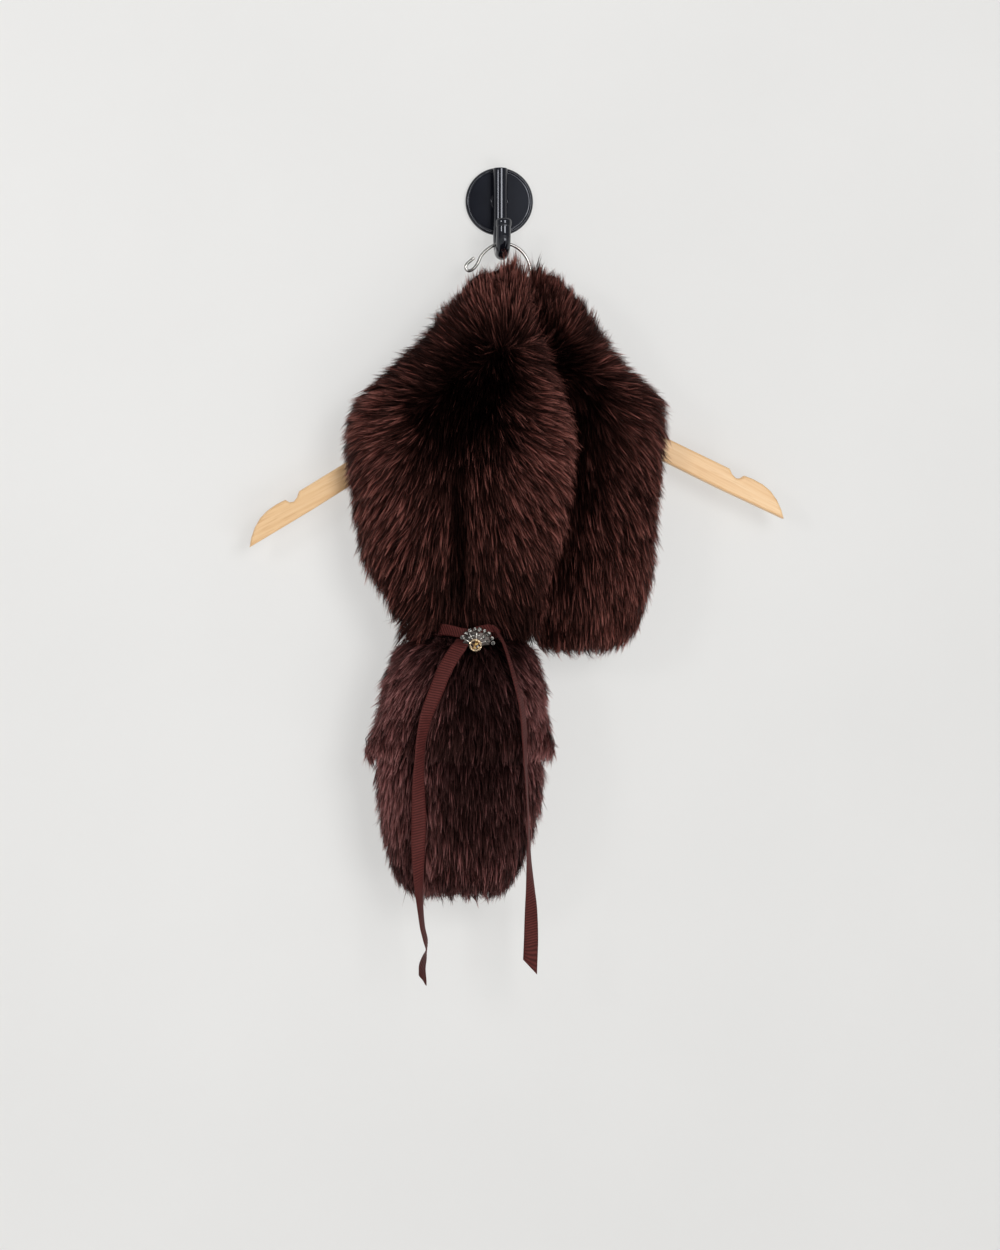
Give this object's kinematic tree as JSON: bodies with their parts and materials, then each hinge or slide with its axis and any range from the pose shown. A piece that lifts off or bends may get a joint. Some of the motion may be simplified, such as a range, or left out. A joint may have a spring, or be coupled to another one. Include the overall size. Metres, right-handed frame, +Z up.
{
  "type": "fur collar wrap on a wooden hanger and wall hook",
  "caption": "Long-pile fur collar wrap, tied at the waist with a ribbon and a brooch, hanging crossed over a wooden hanger on a round wall hook.",
  "frame": {"origin": "centre of the wall plate's back face, which the wall holds", "axes": "+Z is up, +Y points into the wall, +X is to the right of someone who faces the wall"},
  "size_m": [0.4473, 0.1044, 0.6788],
  "materials": {
    "fur": "long silky pile, dark reddish brown, on a dark knitted backing",
    "ribbon": "matte grosgrain with fine cross ribs",
    "hanger_wood": "pale wood under clear lacquer",
    "hook_wire": "polished plating on steel wire",
    "wall_hook": "semi-gloss black lacquer",
    "brooch_metal": "cast and polished, darkened in its hollows",
    "brooch_stone": "facetted amber glass"
  },
  "bodies": {
    "root": {"neck_back": "fur", "long_end_front": "fur", "long_end_back": "fur", "short_end_front": "fur", "short_end_back": "fur", "tail_upper_front": "fur", "tail_upper_back": "fur", "tail_lower_front": "fur", "tail_lower_back": "fur", "tie_band": "ribbon", "tie_knot": "ribbon", "ribbon_left": "ribbon", "ribbon_right": "ribbon", "brooch_setting": "brooch_metal", "brooch_stone": "brooch_stone", "hanger_wood": "hanger_wood", "hanger_hook": "hook_wire", "wall_plate": "wall_hook", "wall_bar": "wall_hook", "bar_cap": "wall_hook"}
  },
  "joints": []
}
